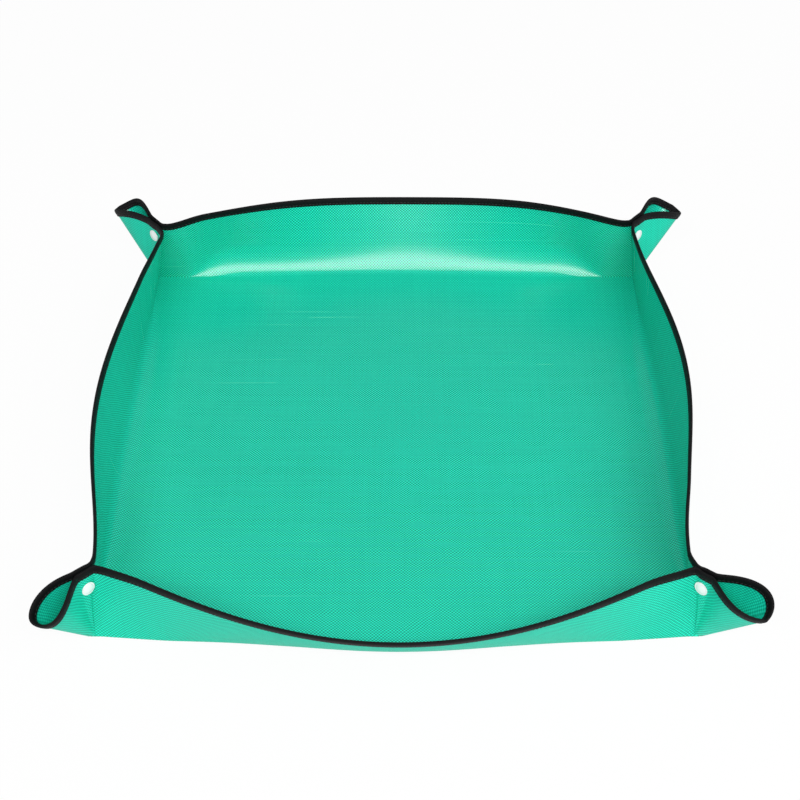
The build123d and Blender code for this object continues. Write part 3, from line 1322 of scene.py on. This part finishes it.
@dataclass
class SnapCap:
    """The domed cap of a press snap, with a rounded flange and a ring groove.

    The half section gives distances from the middle and from the sheet, in millimetres.
    """

    finishes: Finishes
    sides: int = 56
    wrap_r: float = 0.006
    half_section: tuple[Pair, ...] = (
        (5.85, -0.04), (6.05, 0.04), (6.15, 0.22), (6.10, 0.42), (5.90, 0.58), (5.60, 0.66),
        (5.25, 0.66), (5.00, 0.58), (4.85, 0.56), (4.68, 0.64), (4.30, 0.90), (3.70, 1.16),
        (2.90, 1.40), (2.00, 1.57), (1.00, 1.67), (0.30, 1.70),
    )

    def build(self, ear: EarHalf) -> Piece:
        """Builds the cap on an ear half.

        Args:
            ear: The half that carries it.

        Returns:
            The cap.
        """
        s = ear.sizes
        foot, crease, across = ear.axes()
        middle = foot + crease * s.snap_height + across * s.snap_inset + ear.outer * s.crease_offset
        turn = np.linspace(0.0, 2 * math.pi, self.sides, endpoint=False)
        section = np.array(self.half_section) / 1000.0
        ring = np.cos(turn)[:, None] * crease + np.sin(turn)[:, None] * across
        points = middle + section[:, 0][:, None, None] * ring + section[:, 1][:, None, None] * ear.outer
        flat = np.stack(np.broadcast_arrays(turn[None, :] * self.wrap_r, section[:, :1]), -1)
        faces = ring_faces(0, len(section), self.sides)
        name = f"snap_cap_{ear.corner.word}_{ear.side.word}"
        points, flat = points.reshape(-1, 3), flat.reshape(-1, 2)
        return new_piece(name, points, faces, flat, self.finishes.snap, sharp=60.0)


@dataclass
class Tray:
    """The whole mat: floor, walls, ears and snaps."""

    form: SheetForm = field(default_factory=lambda: SheetForm(TraySizes()))
    finishes: Finishes = field(default_factory=Finishes)

    def fold_carry(self, side: Side) -> Carry:
        """How a wall's sheet bends between the floor and the wall.

        Args:
            side: The wall.

        Returns:
            The two bodies and the ends of the bend.
        """
        edge = side.outward * self.form.sizes.fold
        slope, first, last = WALLS[side].turn
        way = (UP - side.outward * slope) / (1.0 + slope ** 2)
        return Carry("floor", f"wall_{side.word}", tuple(edge + way * first), tuple(edge + way * last))

    def end_carry(self, corner: Corner, start: float) -> Carry:
        """How the end of the front or back wall twists between the wall and its corner.

        Args:
            corner: The corner.
            start: Where the twist starts along the wall.

        Returns:
            The two bodies and the ends of the twist.
        """
        side = corner.across_side
        edge = side.outward * self.form.sizes.fold
        way = side.along * corner.value[0]
        return Carry(f"wall_{side.word}", f"wall_end_{corner.word}", tuple(edge + way * start),
                     tuple(edge + way * self.form.sizes.rim_half))

    def build_walls(self) -> None:
        """Builds the four walls, and then the ends of the front and back walls."""
        for side in (Side.LEFT, Side.RIGHT, Side.FRONT, Side.BACK):
            name, line = f"wall_{side.word}", WALLS[side]
            ends = (None, None) if side.value[0] else (-line.bend_gone, line.bend_gone)
            WallRun(self.form, self.finishes, name, line, ends, self.fold_carry(side), Carry(name)).build()
        for corner in Corner:
            name, line = f"wall_end_{corner.word}", WALLS[corner.across_side]
            cut = line.bend_gone
            ends = (None, -cut) if corner.value[0] < 0 else (cut, None)
            carry = self.end_carry(corner, cut)
            WallRun(self.form, self.finishes, name, line, ends, carry, carry).build()

    def build(self) -> None:
        """Builds every piece of the mat."""
        FloorPanel(self.form, self.finishes).build()
        self.build_walls()
        for corner in Corner:
            for side in (corner.across_side, corner.deep_side):
                EarHalf(self.form, self.finishes, corner, side).build()
        for name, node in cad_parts.items():
            if name.endswith(("_stud", "_socket")):
                node.data.materials.clear()
                node.data.materials.append(self.finishes.snap)
                LOG.info("dressed %s", name)


@dataclass(frozen=True)
class Lamp:
    """A soft rectangular lamp that faces a point, in metres and watts."""

    name: str
    place: Triple
    target: Triple
    size: Pair
    power: float

    def hang(self) -> None:
        """Puts the lamp into the scene."""
        lamp = bpy.data.lights.new(self.name, "AREA")
        lamp.shape = "RECTANGLE"
        lamp.size, lamp.size_y = self.size
        lamp.energy = self.power
        piece = add_object(self.name, lamp)
        piece.location = self.place
        way = np.array(self.target) - np.array(self.place)
        level = math.hypot(way[0], way[1])
        piece.rotation_euler = (math.atan2(level, -way[2]), 0.0, math.atan2(-way[0], way[1]))


@dataclass
class Studio:
    """The pale floor, the soft lights and the camera."""

    floor_half: float = 4.0
    floor_level: float = -0.0004
    floor_white: float = 0.90
    floor_rough: float = 0.9
    floor_glow: float = 0.95
    world_light: float = 0.30
    camera_at: Triple = (0.00425, -1.14382, 1.01556)
    camera_down: float = 40.387
    camera_lens: float = 73.384
    camera_sensor: float = 36.0
    lamps: tuple[Lamp, ...] = (
        Lamp("lamp_key", place=(0.0, -2.6, 2.9), target=(0.0, 0.1, 0.0), size=(3.8, 0.55), power=122.0),
        Lamp("lamp_side", place=(1.5, -0.7, 1.3), target=(0.0, 0.0, 0.0), size=(1.0, 1.0), power=10.0),
    )

    def seen_ray(self, graph: NodeGraph) -> Socket:
        """Adds nodes that tell rays seen by the camera, straight or in gloss, from the rest.

        Args:
            graph: The material's nodes.

        Returns:
            A socket that is 1 for such rays.
        """
        path = graph.add("ShaderNodeLightPath").outputs
        total = path["Is Camera Ray"]
        for name in ("Is Glossy Ray", "Is Transmission Ray"):
            total = graph.math("MAXIMUM", total, path[name])
        return total

    def build_floor(self) -> None:
        """Builds the floor, which shows white and keeps the shadow."""
        half, white = self.floor_half, self.floor_white
        mesh = bpy.data.meshes.new("studio_floor")
        corners = [(x * half, y * half, self.floor_level) for x, y in ((-1, -1), (1, -1), (1, 1), (-1, 1))]
        mesh.from_pydata(corners, [], [(0, 1, 2, 3)])
        graph = NodeGraph("studio_floor")
        graph.set(Base_Color=(white, white, white, 1.0), Roughness=self.floor_rough, Specular_IOR_Level=0.0)
        glow = graph.add("ShaderNodeEmission", {"Color": WHITE, "Strength": 1.0})
        share = graph.math("MULTIPLY", self.seen_ray(graph), self.floor_glow)
        both = graph.add("ShaderNodeMixShader", {0: share, 1: graph.shader.outputs[0], 2: glow.outputs[0]})
        graph.put(graph.tree.nodes["Material Output"].inputs[0], both.outputs[0])
        mesh.materials.append(graph.material)
        add_object("studio_floor", mesh)

    def build_world(self) -> None:
        """Builds the even light all round, white where it is seen."""
        world = bpy.data.worlds.new("studio_world")
        world.use_nodes = True
        tree = world.node_tree
        back = tree.nodes["Background"]
        back.inputs[0].default_value = WHITE
        path = tree.nodes.new("ShaderNodeLightPath")
        strength = tree.nodes.new("ShaderNodeMapRange")
        tree.links.new(path.outputs["Is Camera Ray"], strength.inputs[0])
        strength.inputs[3].default_value = self.world_light
        strength.inputs[4].default_value = 1.0
        tree.links.new(strength.outputs[0], back.inputs[1])
        bpy.context.scene.world = world

    def build_camera(self) -> None:
        """Adds the camera at the photograph's angle."""
        camera = bpy.data.cameras.new("photo_camera")
        camera.sensor_width = self.camera_sensor
        camera.lens = self.camera_lens
        piece = add_object("photo_camera", camera)
        piece.location = self.camera_at
        piece.rotation_euler = (math.radians(90.0 - self.camera_down), 0.0, 0.0)
        bpy.context.scene.camera = piece

    def build(self) -> None:
        """Builds the studio."""
        self.build_floor()
        self.build_world()
        for lamp in self.lamps:
            lamp.hang()
        self.build_camera()
        bpy.context.scene.view_settings.view_transform = "Standard"


def main() -> None:
    """Builds the mat and the studio."""
    logging.basicConfig(level=logging.INFO, format="%(name)s: %(message)s")
    Tray().build()
    Studio().build()


if __name__ == "__main__":
    main()
